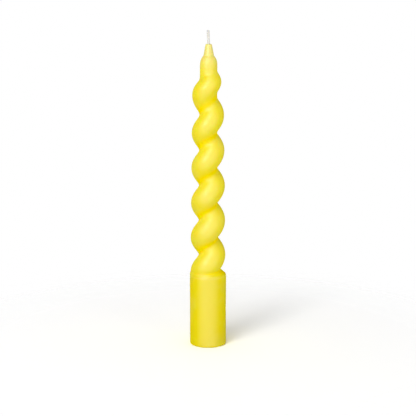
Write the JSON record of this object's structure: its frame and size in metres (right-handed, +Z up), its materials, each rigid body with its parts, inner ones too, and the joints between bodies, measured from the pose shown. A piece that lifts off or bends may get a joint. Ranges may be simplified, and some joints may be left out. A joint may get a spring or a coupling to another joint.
{
  "type": "taper candle",
  "caption": "Twisted beeswax taper candle: a plain round butt for a holder, a thick spiral strand above it, and a slim tip with a short cotton wick.",
  "frame": {"origin": "middle of the foot, on the surface that the candle stands on", "axes": "+Z up along the candle to the wick; the tip and wick stand 0.42 mm off the axis towards +X, and the free end of the wick leans towards -X"},
  "size_m": [0.0222, 0.0222, 0.1922],
  "materials": {
    "wax": "smooth moulded yellow beeswax with a soft satin gloss, slightly translucent, with faint pale bloom",
    "wick": "off-white braided cotton, unburnt"
  },
  "bodies": {
    "root": {"wax_body": "wax", "wick": "wick"}
  },
  "joints": []
}
